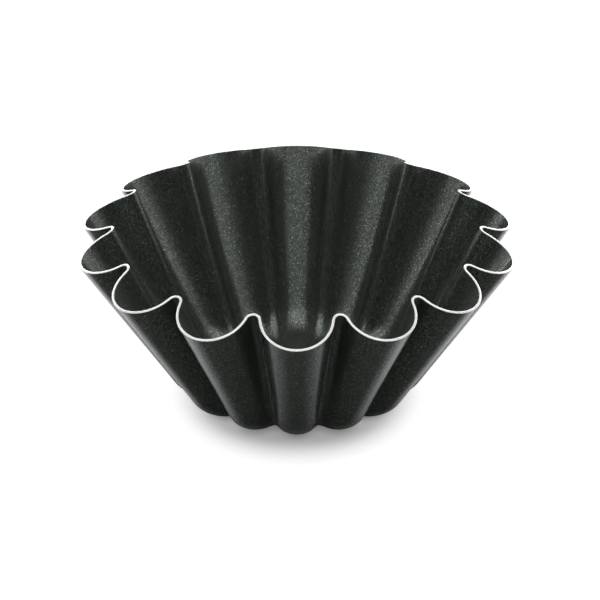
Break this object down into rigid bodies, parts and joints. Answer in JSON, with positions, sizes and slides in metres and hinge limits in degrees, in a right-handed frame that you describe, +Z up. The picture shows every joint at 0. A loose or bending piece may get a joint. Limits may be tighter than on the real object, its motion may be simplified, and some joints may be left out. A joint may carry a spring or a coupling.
{
  "type": "brioche mould",
  "caption": "Flared, deeply fluted round baking tin for brioche, with a wavy bare cut rim, a rounded corner and a flat bottom, coated inside and out.",
  "frame": {"origin": "on the ground, under the centre of the tin's flat bottom", "axes": "+Z is up along the tin's axis, and the crest of one flute points along -Y"},
  "size_m": [0.176, 0.18, 0.0735],
  "materials": {
    "bare_steel": "bright cut edge of cold-rolled steel sheet",
    "nonstick_coat": "satin non-stick coating with fine metallic flecks",
    "outer_coat": "smooth satin baked coating"
  },
  "bodies": {
    "root": {"steel_shell": "bare_steel", "nonstick_lining": "nonstick_coat", "outer_coating": "outer_coat"}
  },
  "joints": []
}
